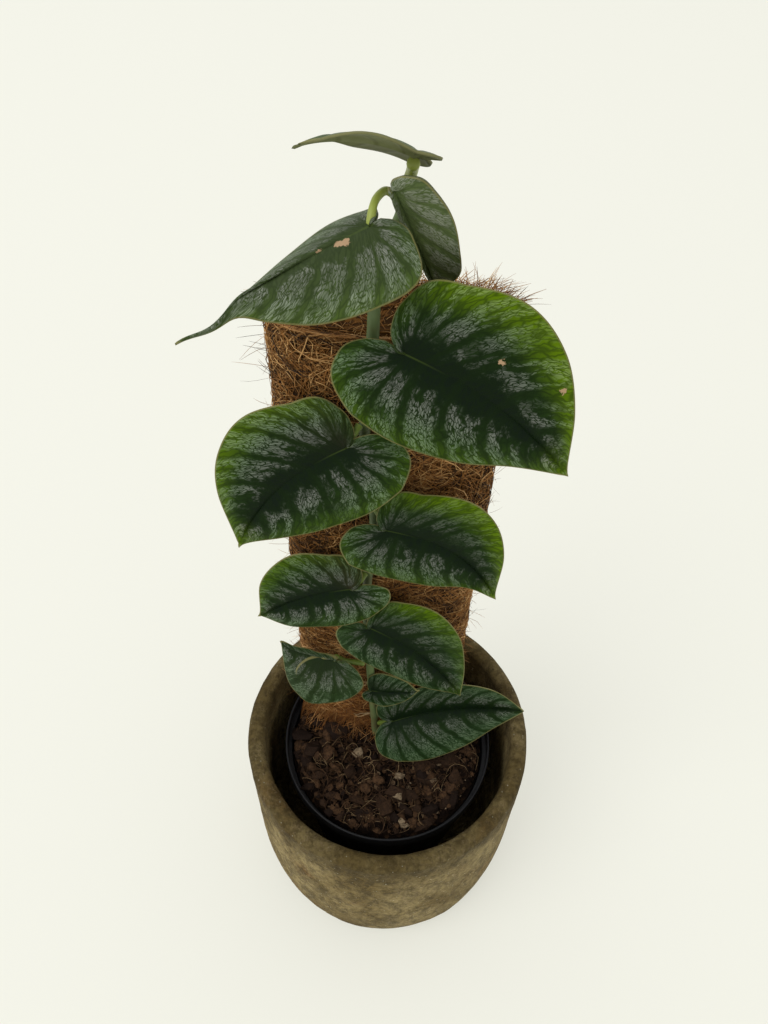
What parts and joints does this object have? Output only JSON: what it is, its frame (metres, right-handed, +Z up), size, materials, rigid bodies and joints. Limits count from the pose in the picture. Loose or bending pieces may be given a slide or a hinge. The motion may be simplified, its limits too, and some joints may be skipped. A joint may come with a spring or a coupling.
{
  "type": "potted shingle plant",
  "caption": "Climbing shingle plant with patterned heart-shaped leaves on a coir-wrapped board, in a plastic pot inside a thick round planter.",
  "frame": {"origin": "middle of the planter's base, on the surface that it stands on", "axes": "+Z up along the board and the stem, -Y towards the viewer, where the leaves face, +X to the viewer's right"},
  "size_m": [0.162, 0.162, 0.4759],
  "materials": {
    "clay": "matt, mottled olive-brown, slightly rough",
    "plastic": "thin black moulded plastic with a soft sheen",
    "soil": "loose dark potting mix with bark chips and fine roots",
    "coir": "loosely felted orange-brown coconut fibre",
    "wood": "rough sawn softwood",
    "stem": "living green stem, satin",
    "leaf": "living leaf, dark green with silver patches between the veins, satin gloss"
  },
  "bodies": {
    "root": {"planter": "clay", "nursery_pot": "plastic", "soil": "soil", "coir_sleeve": "coir", "core_board": "wood", "stem": "stem", "leaf_01": "leaf", "leaf_02": "leaf", "leaf_03": "leaf", "leaf_04": "leaf", "leaf_05": "leaf", "leaf_06": "leaf", "leaf_07": "leaf", "leaf_08": "leaf", "leaf_09": "leaf", "leaf_10": "leaf", "leaf_11": "leaf"}
  },
  "joints": []
}
